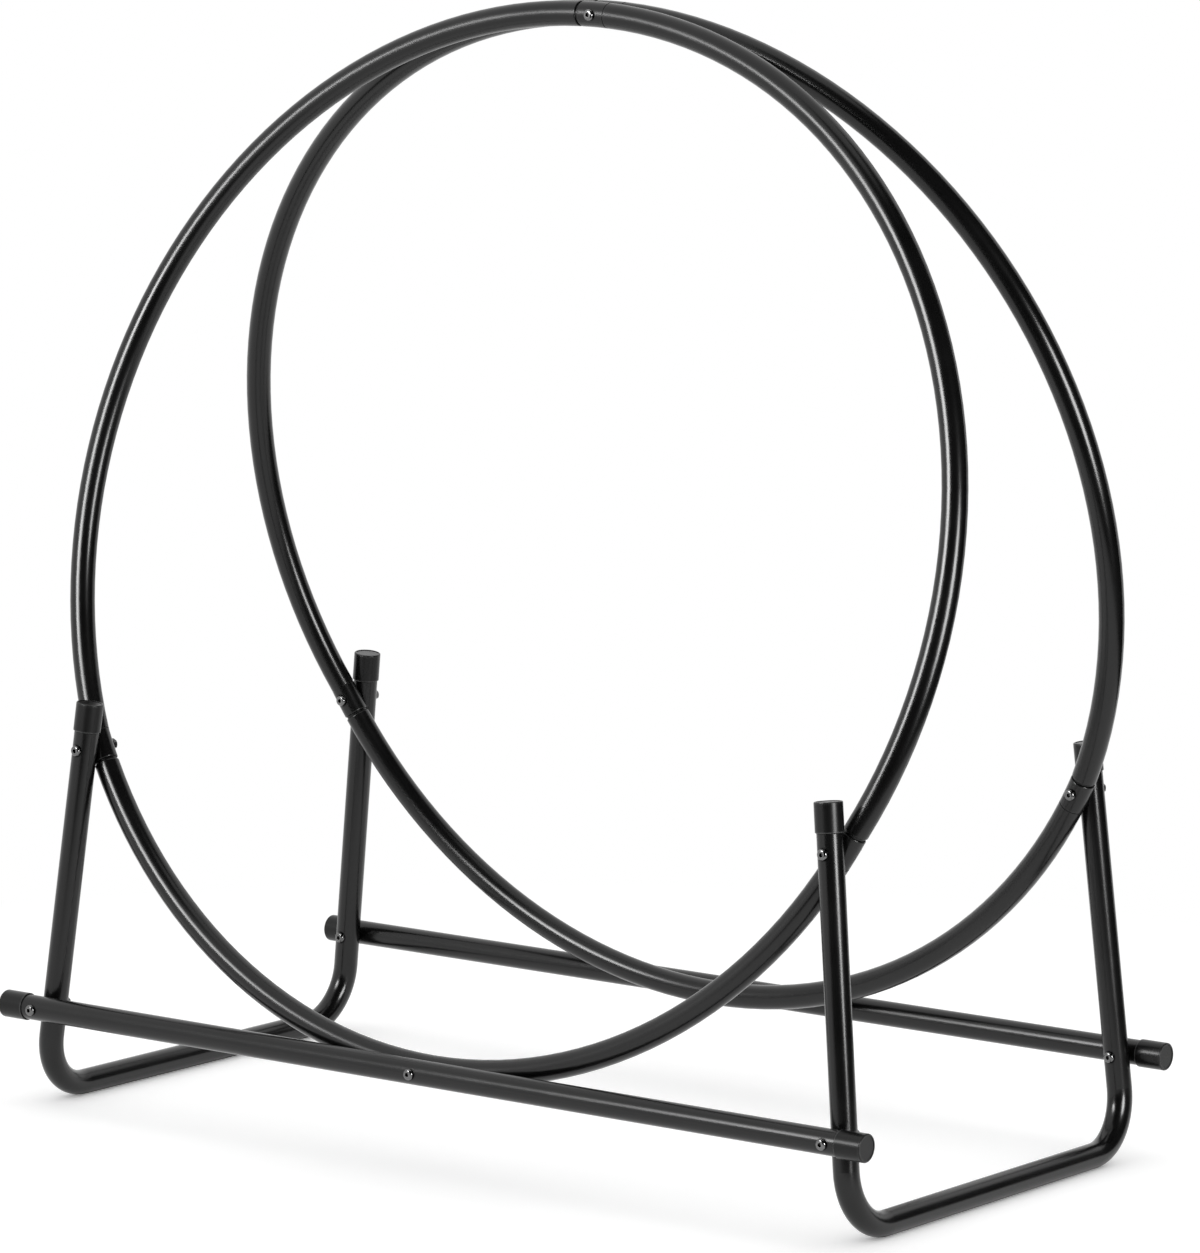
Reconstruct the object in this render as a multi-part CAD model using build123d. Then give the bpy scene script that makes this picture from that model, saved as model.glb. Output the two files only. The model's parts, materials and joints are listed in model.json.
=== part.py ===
"""Firewood log rack: two leaning tube hoops on a bolted base of two leg frames and two bars.

Millimetres, +Z up, front towards -Y. The origin is on the floor, midway between the hoops.
"""

from build123d import *
import math
import os

# Tube stock
tube_diameter = 24.0
tube_wall = 1.2
touch_clearance = 0.2

# Hoops
hoop_outside_diameter = 1016.0
hoop_bottom_spacing = 456.0
hoop_lower_lean = 8.0
side_joint_angle = 29.2

# Sliding joints between the arcs of a hoop
joint_reach = 15.0
joint_seam = 2.4
spigot_clearance = 0.2
spigot_wall = 1.2
spigot_end_gap = 1.5
shoulder_length = 3.0
end_rounding = 1.0
stop_groove_width = 1.2
stop_groove_depth = 0.4

# Base
bar_height = 98.0
bar_overhang = 38.5
foot_spacing = 940.0
leg_bend_radius = 54.0
leg_above_bolt = 44.0

# End caps
cap_skirt = 26.0
cap_wall = 1.1
cap_end = 1.8
cap_clearance = 0.1
cap_rim_rounding = 1.2
cap_rim_width = 2.0
cap_dish_depth = 0.5
cap_lip_chamfer = 0.4

# Bolts and nuts
bolt_diameter = 6.0
bolt_past_nut = 3.0
bolt_hole_clearance = 0.5
bolt_tip_chamfer = 0.8
head_diameter = 10.5
head_height = 3.3
head_rounding = 2.2
recess_across_flats = 4.0
recess_depth = 2.0
nut_across_flats = 10.0
nut_height = 5.0
nut_chamfer = 0.6
thread_clearance = 0.05

# How far a cutter runs past the face it leaves
cut_margin = 2.0

tube_radius = tube_diameter / 2
tube_bore = tube_diameter - 2 * tube_wall
touching = tube_diameter + touch_clearance
hoop_radius = (hoop_outside_diameter - tube_diameter) / 2
spigot_diameter = tube_bore - 2 * spigot_clearance
spigot_bore = spigot_diameter - 2 * spigot_wall
along_x = Vector(1, 0, 0)
along_y = Vector(0, 1, 0)


# Hoop geometry

def arc_angle(length):
    """Angle in degrees that a length covers along the hoop."""
    return math.degrees(length / hoop_radius)


def rise(lean):
    """Direction of a climb that tips towards +Y by lean degrees."""
    return Vector(0, math.sin(math.radians(lean)), math.cos(math.radians(lean)))


def ring_plane(centre, lean):
    """Plane of a front ring, its local x along X and its local y up the lean."""
    return Plane(origin=centre, x_dir=along_x, z_dir=along_x.cross(rise(lean)))


def ring_section(plane, angle):
    """Plane across the ring at an angle, facing along the growing angle."""
    turn = math.radians(angle)
    spoke = plane.x_dir * math.cos(turn) + plane.y_dir * math.sin(turn)
    return Plane(origin=plane.origin + spoke * hoop_radius, x_dir=spoke, z_dir=plane.z_dir.cross(spoke))


def ring_stretch(plane, start, end, diameter):
    """Solid round bar bent along the ring from one angle to another."""
    section = ring_section(plane, start) * Circle(diameter / 2)
    return revolve(section, Axis(plane.origin, plane.z_dir), end - start)


# The arcs meet at three bolts, and each mouth lies joint_reach past its bolt. The top mouth is at the
# highest point of the hoop.
reach = arc_angle(joint_reach)
highest = 90.0
right_joint = -side_joint_angle
top_joint = highest - reach
left_joint = 180.0 + side_joint_angle
full_turn = 360.0

# The lower arc leans a little, and the upper arcs tip further until the two hoops touch at the top.
# The two planes meet along the chord at the mouth of the right joint.
hoop_bottom = Vector(0, -hoop_bottom_spacing / 2, bar_height)
lower_plane = ring_plane(hoop_bottom + rise(hoop_lower_lean) * hoop_radius, hoop_lower_lean)
fold_height = hoop_radius * math.sin(math.radians(right_joint + reach))
fold_point = lower_plane.origin + lower_plane.y_dir * fold_height
fold_to_top = hoop_radius - fold_height
upper_lean = math.degrees(math.asin((-touching / 2 - fold_point.Y) / fold_to_top))
upper_plane = ring_plane(fold_point - rise(upper_lean) * fold_height, upper_lean)

top_site = ring_section(upper_plane, top_joint)
right_site = ring_section(lower_plane, right_joint)
left_site = ring_section(lower_plane, left_joint)

# Base geometry

foot_x = foot_spacing / 2
bar_y = hoop_bottom_spacing / 2 + touching


def crossing_gap(first, second):
    """Distance along Y between the centrelines of two crossing tubes that just touch."""
    return touching / abs(first.cross(second).normalized().Y)


# The front right upright runs just behind the bar and just in front of the hoop.
# Its slope sets both gaps, and a few passes settle them.
joint = right_site.origin
leg_tilt = math.atan2(foot_x - joint.X, joint.Z - tube_radius)
upright_direction = Vector(0, 0, 1)
for settling_pass in range(4):
    low_x = foot_x - (bar_height - tube_radius) * math.tan(leg_tilt)
    upright_low = Vector(low_x, crossing_gap(along_x, upright_direction) - bar_y, bar_height)
    upright_high = joint - along_y * crossing_gap(right_site.z_dir, upright_direction)
    upright_direction = (upright_high - upright_low).normalized()
drop_to_foot = (bar_height - tube_radius) / upright_direction.Z
upright_foot = upright_low - upright_direction * drop_to_foot
upright_top = upright_high + upright_direction * leg_above_bolt
bar_end = Vector(upright_low.X + bar_overhang, -bar_y, bar_height)


# Small builders

standing = (Align.CENTER, Align.CENTER, Align.MIN)
hanging = (Align.CENTER, Align.CENTER, Align.MAX)


def along(point, direction):
    """Plane at a point, facing a direction."""
    return Plane(origin=point, z_dir=direction)


def bolt_hole(point):
    """Cutter along Y for a bolt through one tube."""
    radius = (bolt_diameter + bolt_hole_clearance) / 2
    return along(point, along_y) * Cylinder(radius, 2 * tube_diameter)


def all_sides(piece):
    """A piece of the front right, copied to all four corners of the rack."""
    right = [piece, mirror(piece, Plane.XZ)]
    return right + [mirror(item, Plane.YZ) for item in right]


# Hoop arcs

def rounded_end(stretch, centre):
    """A stretch of solid bar with the rim about one of its end centres rounded."""
    rim = stretch.edges().sort_by(lambda edge: (edge.center(CenterOf.MASS) - centre).length)[0]
    return fillet(rim, end_rounding)


def hoop_arc(start, mouth, main_plane, socket_plane, spigot_plane, bolt_points):
    """One bent tube of a hoop, from its spigot at the start angle to its mouth.

    The spigot reaches back into the mouth of the arc before. The last stretch is the socket for the
    spigot of the arc after, and a rolled groove ends it. The main stretch, the socket and the spigot
    may each follow a plane of their own.
    """
    groove = mouth - 2 * reach
    half_groove = arc_angle(stop_groove_width / 2)
    margin = arc_angle(cut_margin)
    shoulder = arc_angle(shoulder_length)
    spigot_start = start - 2 * reach + arc_angle(spigot_end_gap)
    neck = ring_section(socket_plane, groove)
    neck_radius = tube_radius - stop_groove_depth

    socket = ring_stretch(socket_plane, groove + half_groove, mouth, tube_diameter)
    socket = rounded_end(socket, ring_section(socket_plane, mouth).origin)
    main = ring_stretch(main_plane, start - margin, groove - half_groove, tube_diameter)
    seam_side = ring_section(spigot_plane, start).offset(joint_seam)
    main = rounded_end(split(main, seam_side, keep=Keep.TOP), seam_side.origin)
    spigot = ring_stretch(spigot_plane, spigot_start, start + shoulder, spigot_diameter)
    arc = main + neck * Sphere(neck_radius) + socket + spigot

    arc -= ring_stretch(main_plane, start + shoulder, groove - half_groove, tube_bore)
    arc -= ring_stretch(socket_plane, groove + half_groove, mouth + margin, tube_bore)
    arc -= neck * Cylinder(neck_radius - tube_wall, stop_groove_width + 2 * cut_margin)
    arc -= ring_stretch(spigot_plane, spigot_start - margin, start + shoulder + margin, spigot_bore)
    for point in bolt_points:
        arc -= bolt_hole(point)
    return arc


def front_hoop():
    """The three arcs of the front hoop, by name."""
    top = top_site.origin
    right = right_site.origin
    left = left_site.origin
    right_mouth = right_joint + reach
    top_mouth = top_joint + reach
    left_mouth = left_joint + reach
    return {
        "hoop_upper_right": hoop_arc(
            right_mouth, top_mouth, upper_plane, upper_plane, lower_plane, [top, right]),
        "hoop_upper_left": hoop_arc(
            top_mouth, left_mouth, upper_plane, lower_plane, upper_plane, [top, left]),
        "hoop_lower": hoop_arc(
            left_mouth, right_mouth + full_turn, lower_plane, lower_plane, lower_plane,
            [left, right, hoop_bottom]),
    }


# Base tubes

def right_leg():
    """U-shaped leg frame: two uprights and the foot between them, bent from one tube."""
    tilted_up = Vector(-math.sin(leg_tilt), 0, math.cos(leg_tilt))
    plane = Plane(origin=(foot_x, 0, tube_radius), x_dir=along_y, z_dir=along_y.cross(tilted_up))
    corner = -upright_foot.Y
    top = plane.to_local_coords(upright_top)
    outline = [(top.X, top.Y), (-corner, 0), (corner, 0), (-top.X, top.Y)]
    path = plane * FilletPolyline(*outline, radius=leg_bend_radius)
    start = along(path @ 0, path % 0)
    ring = Circle(tube_radius) - Circle(tube_bore / 2)
    leg = sweep(start * ring, path)
    for point in (upright_low, upright_high):
        leg -= bolt_hole(point)
        leg -= mirror(bolt_hole(point), Plane.XZ)
    return leg


def front_bar():
    """Straight tube across the front of the uprights."""
    centre = Vector(0, -bar_y, bar_height)
    axis = along(centre, along_x)
    bar = axis * (Cylinder(tube_radius, 2 * bar_end.X) - Cylinder(tube_bore / 2, 2 * bar_end.X))
    for x in (-upright_low.X, 0, upright_low.X):
        bar -= bolt_hole(centre + along_x * x)
    return bar


# End caps

def end_cap():
    """Slip-on cap for a tube that ends at the origin, pointing up, with a shallow dish in its end."""
    inside = tube_radius + cap_clearance
    outside = inside + cap_wall
    body = Pos(0, 0, -cap_skirt) * Cylinder(outside, cap_skirt + cap_end, align=standing)
    body = fillet(body.edges().sort_by(Axis.Z)[-1], cap_rim_rounding)
    body = chamfer(body.edges().sort_by(Axis.Z)[0], cap_lip_chamfer)
    body -= Pos(0, 0, cap_end) * Cylinder(outside - cap_rim_width, cap_dish_depth, align=hanging)
    return body - Pos(0, 0, -cap_skirt) * Cylinder(inside, cap_skirt, align=standing)


# Bolts and nuts

def crest(direction, pad_radius):
    """Distance along Y from a tube's centreline to a round pad that seats on it."""
    slope = math.asin(abs(direction.Y))
    return tube_radius / math.cos(slope) + pad_radius * math.tan(slope) + touch_clearance / 2


def bolt(grip):
    """Button head bolt with its head below the origin and its shank up +Z, past a nut at the grip."""
    head = Cylinder(head_diameter / 2, head_height, align=hanging)
    head = fillet(head.edges().sort_by(Axis.Z)[0], head_rounding)
    recess = extrude(RegularPolygon(recess_across_flats / 2, 6, major_radius=False), recess_depth)
    head -= Pos(0, 0, -head_height) * recess
    shank = Cylinder(bolt_diameter / 2, grip + nut_height + bolt_past_nut, align=standing)
    shank = chamfer(shank.edges().sort_by(Axis.Z)[-1], bolt_tip_chamfer)
    return head + shank


def nut():
    """Hexagon nut with its seat at the origin, reaching up +Z."""
    body = extrude(RegularPolygon(nut_across_flats / 2, 6, major_radius=False), nut_height)
    round_off = Cylinder(nut_across_flats / 2 + nut_chamfer, nut_height, align=standing)
    round_off = chamfer(round_off.edges(), nut_chamfer)
    return (body & round_off) - Cylinder(bolt_diameter / 2 + thread_clearance, 4 * nut_height)


def bolt_and_nut(front_point, front_direction, back_point, back_direction):
    """A bolt along +Y through two tubes, its head on the first, and its nut on the second."""
    nut_radius = nut_across_flats / math.sqrt(3)
    head_seat = front_point - along_y * crest(front_direction, head_diameter / 2)
    nut_seat = back_point + along_y * crest(back_direction, nut_radius)
    grip = nut_seat.Y - head_seat.Y
    return along(head_seat, along_y) * bolt(grip), along(nut_seat, along_y) * nut()


def mirrored_y(vector):
    """The same point or direction on the other side of the rack's middle plane."""
    return Vector(vector.X, -vector.Y, vector.Z)


def fastening(outer, outer_direction, inner, inner_direction):
    """Bolts and nuts where an outer tube meets an inner one, at the front and at the rear."""
    front = bolt_and_nut(outer, outer_direction, inner, inner_direction)
    rear = bolt_and_nut(
        mirrored_y(inner), mirrored_y(inner_direction), mirrored_y(outer), mirrored_y(outer_direction))
    return [front, rear]


def both_sides(pairs):
    """Pairs of the right side, with their copies on the left."""
    return pairs + [tuple(mirror(piece, Plane.YZ) for piece in pair) for pair in pairs]


def fasteners():
    """Bolts and nuts of each kind of joint, by name."""
    bar_at_leg = Vector(upright_low.X, -bar_y, bar_height)
    bar_middle = Vector(0, -bar_y, bar_height)
    top = top_site.origin
    top_direction = top_site.z_dir
    return {
        "leg_to_hoop": both_sides(fastening(upright_high, upright_direction, joint, right_site.z_dir)),
        "bar_to_leg": both_sides(fastening(bar_at_leg, along_x, upright_low, upright_direction)),
        "bar_to_hoop": fastening(bar_middle, along_x, hoop_bottom, along_x),
        "hoop_top": [bolt_and_nut(top, top_direction, mirrored_y(top), mirrored_y(top_direction))],
    }


# Assembly

def build_rack():
    """Every piece of the rack, by name."""
    rack = {}
    for name, arc in front_hoop().items():
        rack["front_" + name] = arc
        rack["rear_" + name] = mirror(arc, Plane.XZ)
    rack["right_leg_frame"] = right_leg()
    rack["left_leg_frame"] = mirror(rack["right_leg_frame"], Plane.YZ)
    rack["front_bar"] = front_bar()
    rack["rear_bar"] = mirror(rack["front_bar"], Plane.XZ)

    corners = ("front_right", "rear_right", "front_left", "rear_left")
    leg_cap = along(upright_top, upright_direction) * end_cap()
    bar_cap = along(bar_end, along_x) * end_cap()
    for corner, on_leg, on_bar in zip(corners, all_sides(leg_cap), all_sides(bar_cap)):
        rack[corner + "_leg_cap"] = on_leg
        rack[corner + "_bar_cap"] = on_bar

    for name, pairs in fasteners().items():
        ending = "s" if len(pairs) > 1 else ""
        rack[name + "_bolt" + ending] = Compound(children=[pair[0] for pair in pairs])
        rack[name + "_nut" + ending] = Compound(children=[pair[1] for pair in pairs])
    return rack


os.makedirs("parts", exist_ok=True)
for node, shape in build_rack().items():
    export_step(shape, f"parts/{node}.step")
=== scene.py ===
"""Looks of the firewood log rack: satin black powder coat, black end caps and zinc plated bolts.

Everything is in metres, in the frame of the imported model, with the front of the rack towards -Y.
"""

import json
import math

import bpy
import numpy as np
from mathutils import Matrix, Vector

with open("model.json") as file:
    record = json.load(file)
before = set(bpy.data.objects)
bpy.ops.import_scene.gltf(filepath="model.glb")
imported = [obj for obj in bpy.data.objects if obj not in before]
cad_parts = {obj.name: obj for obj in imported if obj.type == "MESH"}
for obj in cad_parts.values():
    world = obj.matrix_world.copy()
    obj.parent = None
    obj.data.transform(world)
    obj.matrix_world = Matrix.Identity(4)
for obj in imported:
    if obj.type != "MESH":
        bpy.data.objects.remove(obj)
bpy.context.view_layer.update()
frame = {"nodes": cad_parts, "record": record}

MM = 0.001

# Picture
PICTURE_HEIGHT_PX = 1253
FOCAL_PX = 6689
SENSOR_M = 0.036
CAMERA_TARGET_M = Vector((0.0190, 0.0, 0.4883))
CAMERA_DISTANCE_M = 6.314
CAMERA_AZIMUTH_DEG = 36.07
CAMERA_ELEVATION_DEG = 8.27
CAMERA_ROLL_RAD = 0.013
CAMERA_CLIP_M = 100.0

# Floor
FLOOR_RADIUS_M = 4.0
FLOOR_SIDES = 96
FLOOR_FADE_START_M = 0.60
FLOOR_FADE_END_M = 1.30
FLOOR_WHITE = 0.96
FLOOR_GLOW = 0.19

# Dark card
CARD_INNER_M = 1.3
CARD_OUTER_M = 4.2
CARD_HEIGHT_M = 3.4
CARD_ROOF_INNER_M = 1.0
CARD_START_DEG = -95.0
CARD_END_DEG = 62.0
CARD_COLUMNS = 40
CARD_GREY = 0.02

# Skin, rims paler from wear and a painted highlight, and crevices with painted shade
NOISE_ROUGHNESS = 0.55
PEBBLE_DETAIL = 2.0
WAVE_DETAIL = 1.0
WAVE_SHARE = 0.5
CLOUD_SIZE_M = 0.09
CLOUD_DETAIL = 4.0
CLOUD_CONTRAST = (0.35, 0.65)
RIM_MASK_SAMPLES = 6
RIM_MASK_EDGE_MATCH = (0.995, 0.90)
RIM_MASK_PATCHES_PER_M = 260.0
RIM_MASK_PATCH_DETAIL = 3.0
RIM_MASK_PATCH_CONTRAST = (0.40, 0.62)
RIM_MASK_PATCH_LEAST = 0.55
CREVICE_SAMPLES = 8
CREVICE_OPEN_SHARE = (0.88, 0.58)

# Greys and roughness of the finishes
# Partly wear and partly a painted highlight: the grey of the rims on the black finishes.
BLACK_RIM_WEAR_AND_HIGHLIGHT_GREY = 0.12
# Painted shade: the grey at the bottom of grooves.
BLACK_GROOVE_SHADE_GREY = 0.001
ZINC_GREYS = (0.12, 0.20)
# Partly polish and partly a painted glint: the grey of the bolts' rims.
ZINC_RIM_POLISH_AND_GLINT_GREY = 0.55
# Painted shade: the grey deep in the bolt recesses.
ZINC_RECESS_SHADE_GREY = 0.004
ZINC_ROUGHNESS = (0.10, 0.16)


# Node helpers

def add(tree, kind, **settings):
    """One node in a tree, with its settings and, by socket name or number, its input values or links."""
    node = tree.nodes.new(kind)
    inputs = settings.pop("inputs", {})
    for name, value in settings.items():
        setattr(node, name, value)
    for name, value in inputs.items():
        socket = node.inputs[name]
        if isinstance(value, bpy.types.NodeSocket):
            tree.links.new(value, socket)
        else:
            socket.default_value = value
    return node


def math_node(tree, operation, first, second=0.0):
    """Result of one arithmetic step on two values or sockets."""
    return add(tree, "ShaderNodeMath", operation=operation, inputs={0: first, 1: second}).outputs[0]


def spread(tree, value, low, high, to_low, to_high):
    """A value moved from one range to another, held at its ends."""
    return add(tree, "ShaderNodeMapRange", inputs={
        "Value": value, "From Min": low, "From Max": high, "To Min": to_low, "To Max": to_high,
    }).outputs["Result"]


def blend_colours(tree, share, first, second):
    """First colour where share is 0, second where it is 1.

    The node has sockets of the same names for other kinds of data, so its colours go by number.
    """
    share_socket = 0
    first_socket = 6
    second_socket = 7
    result_socket = 2
    node = add(tree, "ShaderNodeMix", data_type="RGBA", inputs={
        share_socket: share, first_socket: first, second_socket: second})
    return node.outputs[result_socket]


def grey(level):
    """Neutral colour of a level."""
    return (level, level, level, 1.0)


def new_group(name, inputs, outputs):
    """Empty shader node group with named sockets, and its input and output nodes."""
    group = bpy.data.node_groups.new(name, "ShaderNodeTree")
    for title, kind, value in inputs:
        socket = group.interface.new_socket(title, in_out="INPUT", socket_type=kind)
        socket.default_value = value
    for title, kind in outputs:
        group.interface.new_socket(title, in_out="OUTPUT", socket_type=kind)
    return group, group.nodes.new("NodeGroupInput"), group.nodes.new("NodeGroupOutput")


def place_group(tree, group, **values):
    """A group put into a material, with its values by socket name."""
    node = tree.nodes.new("ShaderNodeGroup")
    node.node_tree = group
    for name, value in values.items():
        node.inputs[name.replace("_", " ")].default_value = value
    return node


def empty_material(name):
    """Material without a shader, its tree and the socket of its surface."""
    material = bpy.data.materials.new(name)
    material.use_nodes = True
    tree = material.node_tree
    tree.nodes.clear()
    output = tree.nodes.new("ShaderNodeOutputMaterial")
    return material, tree, output.inputs["Surface"]


# Shared effects

def orange_peel_group():
    """Sprayed or moulded skin: fine pebbles over long soft waves, as a height and a cloudy mask.

    Height is pebbles plus half of the waves, both fractal noise on Object coordinates. The mask is a
    slower noise that varies gloss and tone from place to place.
    """
    group, inlet, outlet = new_group(
        "orange_peel",
        [("Pebble size", "NodeSocketFloat", 1 * MM), ("Wave size", "NodeSocketFloat", 6 * MM)],
        [("Height", "NodeSocketFloat"), ("Cloud", "NodeSocketFloat")])
    spot = add(group, "ShaderNodeTexCoord").outputs["Object"]

    def noise(size, detail):
        """Noise with blotches of a size."""
        per_metre = math_node(group, "DIVIDE", 1.0, size)
        return add(group, "ShaderNodeTexNoise", inputs={
            "Vector": spot, "Scale": per_metre, "Detail": detail, "Roughness": NOISE_ROUGHNESS,
        }).outputs["Fac"]

    pebbles = noise(inlet.outputs["Pebble size"], PEBBLE_DETAIL)
    waves = noise(inlet.outputs["Wave size"], WAVE_DETAIL)
    height = math_node(group, "ADD", pebbles, math_node(group, "MULTIPLY", waves, WAVE_SHARE))
    group.links.new(height, outlet.inputs["Height"])
    cloud = noise(CLOUD_SIZE_M, CLOUD_DETAIL)
    group.links.new(spread(group, cloud, *CLOUD_CONTRAST, 0.0, 1.0), outlet.inputs["Cloud"])
    return group


def edge_rub_and_highlight_group():
    """Mask that is 1 on rims and corners, broken up by noise; it makes rims paler from wear and as a painted
    highlight.

    The normal of a rounded copy of the surface is set against the true one: their dot product falls
    below 1 only within a radius of an edge.
    """
    group, inlet, outlet = new_group(
        "edge_rub_and_highlight",
        [("Radius", "NodeSocketFloat", 0.6 * MM), ("Amount", "NodeSocketFloat", 1.0)],
        [("Mask", "NodeSocketFloat")])
    rounded = add(group, "ShaderNodeBevel", samples=RIM_MASK_SAMPLES, inputs={"Radius": inlet.outputs["Radius"]})
    true = add(group, "ShaderNodeNewGeometry")
    match = add(group, "ShaderNodeVectorMath", operation="DOT_PRODUCT", inputs={
        0: rounded.outputs["Normal"], 1: true.outputs["Normal"]})
    edge = spread(group, match.outputs["Value"], *RIM_MASK_EDGE_MATCH, 0.0, 1.0)
    spot = add(group, "ShaderNodeTexCoord").outputs["Object"]
    patches = add(group, "ShaderNodeTexNoise", inputs={
        "Vector": spot, "Scale": RIM_MASK_PATCHES_PER_M, "Detail": RIM_MASK_PATCH_DETAIL})
    broken = spread(group, patches.outputs["Fac"], *RIM_MASK_PATCH_CONTRAST, RIM_MASK_PATCH_LEAST, 1.0)
    broken_edge = math_node(group, "MULTIPLY", edge, broken)
    rubbed_and_highlighted = math_node(group, "MULTIPLY", broken_edge, inlet.outputs["Amount"])
    group.links.new(rubbed_and_highlighted, outlet.inputs["Mask"])
    return group


def crevice_group():
    """Mask that is 1 deep in grooves and recesses, from how much of the space near by is shut off; the
    finishes paint shade there with it.
    """
    group, inlet, outlet = new_group(
        "crevice", [("Reach", "NodeSocketFloat", 3 * MM)], [("Mask", "NodeSocketFloat")])
    open_share = add(group, "ShaderNodeAmbientOcclusion", samples=CREVICE_SAMPLES, inputs={
        "Distance": inlet.outputs["Reach"]})
    shut = spread(group, open_share.outputs["AO"], *CREVICE_OPEN_SHARE, 0.0, 1.0)
    group.links.new(shut, outlet.inputs["Mask"])
    return group


# Finishes

def new_finish(name):
    """Material with a Principled shader, its tree and the shader."""
    material, tree, surface = empty_material(name)
    shader = tree.nodes.new("ShaderNodeBsdfPrincipled")
    tree.links.new(shader.outputs["BSDF"], surface)
    return material, tree, shader


def link_bump(tree, shader, height, strength, depth):
    """Small relief on a finish, from a height mask."""
    bump = add(tree, "ShaderNodeBump", inputs={"Strength": strength, "Distance": depth, "Height": height})
    tree.links.new(bump.outputs["Normal"], shader.inputs["Normal"])


def satin_black(name, effects, *, pebble_size, wave_size, relief, rub_and_highlight_radius, rub_and_highlight_amount,
                groove_shade_reach, greys, roughness, specular):
    """Satin black finish: pebbled skin, cloudy tone and gloss, rims paler by wear and painted highlight,
    and painted shade in grooves.

    In a groove the painted shade is rough metal with next to no colour, because that reflects less than any
    plain black.
    """
    material, tree, shader = new_finish(name)
    skin = place_group(tree, effects["orange_peel"], Pebble_size=pebble_size, Wave_size=wave_size)
    rub_and_highlight = place_group(tree, effects["edge_rub_and_highlight"], Radius=rub_and_highlight_radius, Amount=rub_and_highlight_amount)
    groove_shade = place_group(tree, effects["crevice"], Reach=groove_shade_reach).outputs["Mask"]
    cloud = skin.outputs["Cloud"]
    dark, pale = greys
    body = blend_colours(tree, cloud, grey(dark), grey(pale))
    # Rims paler from wear and from a painted highlight on the lips.
    rubbed_and_highlighted = blend_colours(tree, rub_and_highlight.outputs["Mask"], body, grey(BLACK_RIM_WEAR_AND_HIGHLIGHT_GREY))
    # Painted shade: grooves turn near black.
    colour = blend_colours(tree, groove_shade, rubbed_and_highlighted, grey(BLACK_GROOVE_SHADE_GREY))
    tree.links.new(colour, shader.inputs["Base Color"])
    gloss = spread(tree, cloud, 0.0, 1.0, *roughness)
    # Painted shade: in grooves the finish turns rough and metallic, so that it reflects next to nothing.
    tree.links.new(math_node(tree, "MAXIMUM", gloss, groove_shade), shader.inputs["Roughness"])
    tree.links.new(groove_shade, shader.inputs["Metallic"])
    link_bump(tree, shader, skin.outputs["Height"], strength=relief, depth=0.10 * MM)
    shader.inputs["Specular IOR Level"].default_value = specular
    return material


def powder_coat(effects):
    """Satin black powder coat on the tubes, with a calm skin, rims a little paler from wear and a painted
    highlight, and painted shade in grooves.
    """
    return satin_black(
        "satin_black_powder_coat", effects,
        pebble_size=0.9 * MM, wave_size=7 * MM, relief=0.003,
        rub_and_highlight_radius=1.4 * MM, rub_and_highlight_amount=0.35, groove_shade_reach=3 * MM,
        greys=(0.0026, 0.0042), roughness=(0.20, 0.25), specular=0.40)


def cap_plastic(effects):
    """Satin black moulded plastic of the caps, with a finer grain, rims well paler from wear and a painted
    highlight, and painted shade in grooves.
    """
    return satin_black(
        "satin_black_cap_plastic", effects,
        pebble_size=0.45 * MM, wave_size=2.5 * MM, relief=0.02,
        rub_and_highlight_radius=2.2 * MM, rub_and_highlight_amount=0.8, groove_shade_reach=1.5 * MM,
        greys=(0.003, 0.005), roughness=(0.26, 0.32), specular=0.28)


def zinc_steel(effects):
    """Dark zinc plated steel: cloudy plating, duller in the clouds, rims polished paler and partly a painted
    glint, and painted shade in the recesses.
    """
    material, tree, shader = new_finish("zinc_plated_steel")
    skin = place_group(tree, effects["orange_peel"], Pebble_size=0.5 * MM, Wave_size=2 * MM)
    rub_and_highlight = place_group(tree, effects["edge_rub_and_highlight"], Radius=0.5 * MM, Amount=1.0)
    recess_shade = place_group(tree, effects["crevice"], Reach=2.5 * MM).outputs["Mask"]
    cloud = skin.outputs["Cloud"]
    dark, pale = ZINC_GREYS
    plating = blend_colours(tree, cloud, grey(dark), grey(pale))
    # Rims polished paler, partly as a painted glint.
    rubbed_and_highlighted = blend_colours(tree, rub_and_highlight.outputs["Mask"], plating, grey(ZINC_RIM_POLISH_AND_GLINT_GREY))
    # Painted shade: recesses turn near black.
    colour = blend_colours(tree, recess_shade, rubbed_and_highlighted, grey(ZINC_RECESS_SHADE_GREY))
    tree.links.new(colour, shader.inputs["Base Color"])
    gloss = spread(tree, cloud, 0.0, 1.0, *ZINC_ROUGHNESS)
    tree.links.new(gloss, shader.inputs["Roughness"])
    link_bump(tree, shader, skin.outputs["Height"], strength=0.08, depth=0.05 * MM)
    shader.inputs["Metallic"].default_value = 1.0
    return material


def dress(nodes):
    """Gives every CAD node the finish of its material slot in the record."""
    effects = {
        "orange_peel": orange_peel_group(),
        "edge_rub_and_highlight": edge_rub_and_highlight_group(),
        "crevice": crevice_group(),
    }
    finishes = {
        "black_coat": powder_coat(effects),
        "cap_plastic": cap_plastic(effects),
        "fastener_steel": zinc_steel(effects),
    }
    for part in frame["record"]["subparts"]:
        slots = nodes[part["node"]].data.materials
        slots.clear()
        slots.append(finishes[part["material_slot"]])


# Stage and light

def seen_directly(tree):
    """1 for rays from the camera, from gloss and through glass, 0 for rays of diffuse light."""
    path = add(tree, "ShaderNodeLightPath").outputs
    gloss = math_node(tree, "MAXIMUM", path["Is Glossy Ray"], path["Is Transmission Ray"])
    return math_node(tree, "MAXIMUM", path["Is Camera Ray"], gloss)


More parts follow.
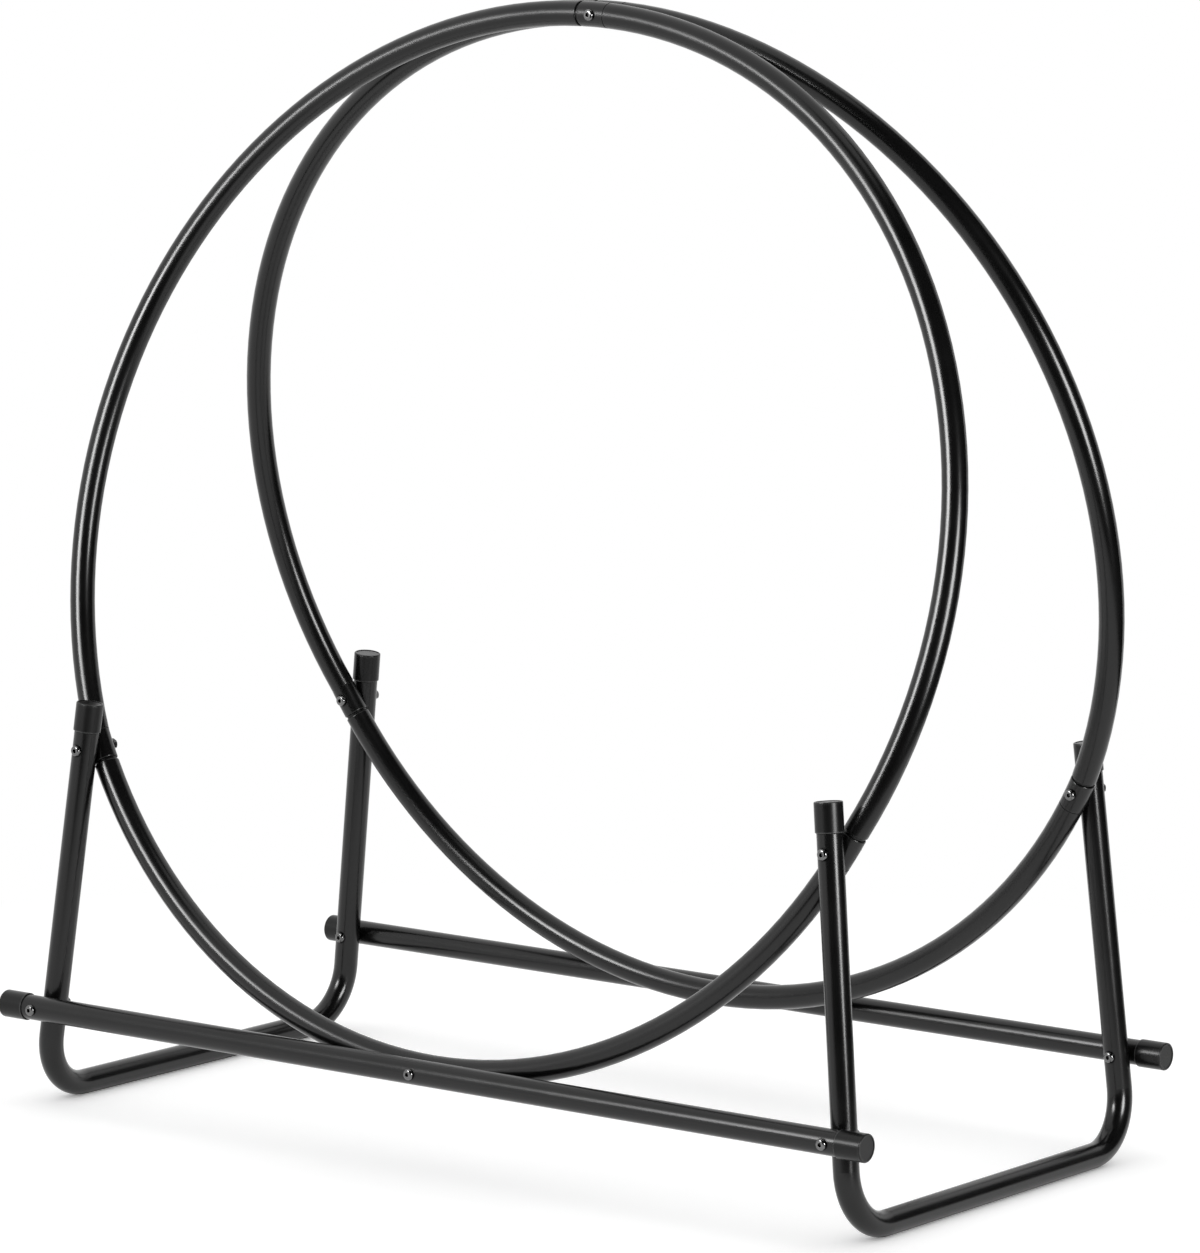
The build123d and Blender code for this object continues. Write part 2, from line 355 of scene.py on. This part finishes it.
def floor_material():
    """White floor that keeps shadows near the rack and fades into the white background further out.

    It glows a little, for rays that see it directly, so that it is white between the shadows.
    """
    material, tree, surface = empty_material("white_floor")
    spot = add(tree, "ShaderNodeTexCoord").outputs["Object"]
    reach = add(tree, "ShaderNodeVectorMath", operation="LENGTH", inputs={0: spot}).outputs["Value"]
    far = spread(tree, reach, FLOOR_FADE_START_M, FLOOR_FADE_END_M, 0.0, 1.0)
    seen = seen_directly(tree)
    matte = add(tree, "ShaderNodeBsdfDiffuse", inputs={"Color": grey(FLOOR_WHITE)})
    glow = add(tree, "ShaderNodeEmission", inputs={
        "Color": grey(1.0), "Strength": math_node(tree, "MULTIPLY", seen, FLOOR_GLOW)})
    near = add(tree, "ShaderNodeAddShader", inputs={0: matte.outputs[0], 1: glow.outputs[0]})
    paper = add(tree, "ShaderNodeEmission", inputs={"Color": grey(1.0), "Strength": 1.0})
    mix = add(tree, "ShaderNodeMixShader", inputs={
        "Fac": math_node(tree, "MULTIPLY", far, seen), 1: near.outputs[0], 2: paper.outputs[0]})
    tree.links.new(mix.outputs[0], surface)
    return material


def card_material():
    """Matte dark grey."""
    material, tree, surface = empty_material("dark_card")
    matte = add(tree, "ShaderNodeBsdfDiffuse", inputs={"Color": grey(CARD_GREY)})
    tree.links.new(matte.outputs[0], surface)
    return material


def mesh_object(name, points, faces, material):
    """Object of one material in the scene, from arrays of points and faces."""
    mesh = bpy.data.meshes.new(name)
    mesh.from_pydata(points.tolist(), [], faces.tolist())
    mesh.materials.append(material)
    piece = bpy.data.objects.new(name, mesh)
    bpy.context.scene.collection.objects.link(piece)
    return piece


def build_floor():
    """Round floor: a disc of triangles from its centre to points at even angles."""
    turn = np.linspace(0.0, 2.0 * math.pi, FLOOR_SIDES, endpoint=False)
    rim = np.stack([np.cos(turn), np.sin(turn), np.zeros_like(turn)], axis=1) * FLOOR_RADIUS_M
    points = np.vstack([np.zeros((1, 3)), rim])
    first = np.arange(1, len(points))
    faces = np.stack([np.zeros_like(first), first, np.roll(first, -1)], axis=1)
    floor = mesh_object("floor", points, faces, floor_material())


def build_card():
    """Dark card on the camera's side, which only gloss sees, so that the tubes have dark middles.

    It lies on the floor, turns up into a wall and in again as a roof: (r cos a, r sin a, z) at even
    angles a, for the r and z of its inner edge, its two corners and the edge of its roof.
    """
    turn = np.radians(np.linspace(CARD_START_DEG, CARD_END_DEG, CARD_COLUMNS))
    profile = np.array([
        (CARD_INNER_M, MM), (CARD_OUTER_M, MM),
        (CARD_OUTER_M, CARD_HEIGHT_M), (CARD_ROOF_INNER_M, CARD_HEIGHT_M)])
    radius = profile[:, :1]
    height = np.broadcast_to(profile[:, 1:], (len(profile), len(turn)))
    points = np.stack([radius * np.cos(turn), radius * np.sin(turn), height], axis=2).reshape(-1, 3)
    row, column = np.mgrid[0:len(profile) - 1, 0:len(turn) - 1]
    first = (row * len(turn) + column).ravel()
    faces = np.stack([first, first + 1, first + 1 + len(turn), first + len(turn)], axis=1)
    card = mesh_object("card", points, faces, card_material())
    for rays in ("camera", "diffuse", "transmission", "volume_scatter", "shadow"):
        setattr(card, "visible_" + rays, False)


def build_world():
    """White room, which is the background and the even light on the rack."""
    world = bpy.data.worlds.new("studio")
    bpy.context.scene.world = world
    world.use_nodes = True
    tree = world.node_tree
    tree.nodes.clear()
    background = add(tree, "ShaderNodeBackground", inputs={"Color": grey(1.0), "Strength": 1.0})
    output = tree.nodes.new("ShaderNodeOutputWorld")
    tree.links.new(background.outputs[0], output.inputs["Surface"])


def softbox(name, place, aim, width, height, watts, beam_deg):
    """Oval area lamp at a place, facing a point, which shows in gloss and lights no matte surface."""
    lamp = bpy.data.lights.new(name, "AREA")
    lamp.shape = "ELLIPSE"
    lamp.size = width
    lamp.size_y = height
    lamp.energy = watts
    lamp.spread = math.radians(beam_deg)
    box = bpy.data.objects.new(name, lamp)
    box.location = place
    box.rotation_euler = (Vector(aim) - Vector(place)).to_track_quat("-Z", "Y").to_euler()
    box.visible_diffuse = False
    bpy.context.scene.collection.objects.link(box)


def build_lights():
    """An upright softbox at the right, and a round one, higher and with a narrow beam, at the front left."""
    softbox(
        "right_softbox", place=(2.88, -0.72, 0.90), aim=(0.0, 0.0, 0.90),
        width=1.0, height=1.45, watts=76, beam_deg=180.0)
    softbox(
        "left_softbox", place=(-1.02, -2.83, 1.85), aim=(0.0, 0.0, 1.45),
        width=1.5, height=1.5, watts=25, beam_deg=66.0)


def build_camera():
    """Camera on a sphere about its target, turned by azimuth, elevation and a little roll."""
    azimuth = math.radians(CAMERA_AZIMUTH_DEG)
    elevation = math.radians(CAMERA_ELEVATION_DEG)
    right = Vector((math.cos(azimuth), math.sin(azimuth), 0.0))
    back = Vector((
        math.sin(azimuth) * math.cos(elevation),
        -math.cos(azimuth) * math.cos(elevation),
        math.sin(elevation)))
    up = back.cross(right)
    lens = bpy.data.cameras.new("camera")
    lens.sensor_width = SENSOR_M / MM
    lens.lens = SENSOR_M / MM * FOCAL_PX / PICTURE_HEIGHT_PX
    lens.clip_end = CAMERA_CLIP_M
    camera = bpy.data.objects.new("camera", lens)
    turned = Matrix((right, up, back)).transposed() @ Matrix.Rotation(CAMERA_ROLL_RAD, 3, "Z")
    place = CAMERA_TARGET_M + back * CAMERA_DISTANCE_M
    camera.matrix_world = Matrix.Translation(place) @ turned.to_4x4()
    bpy.context.scene.collection.objects.link(camera)
    bpy.context.scene.camera = camera


dress(frame["nodes"])
build_floor()
build_card()
build_world()
build_lights()
build_camera()
bpy.context.scene.view_settings.view_transform = "Standard"
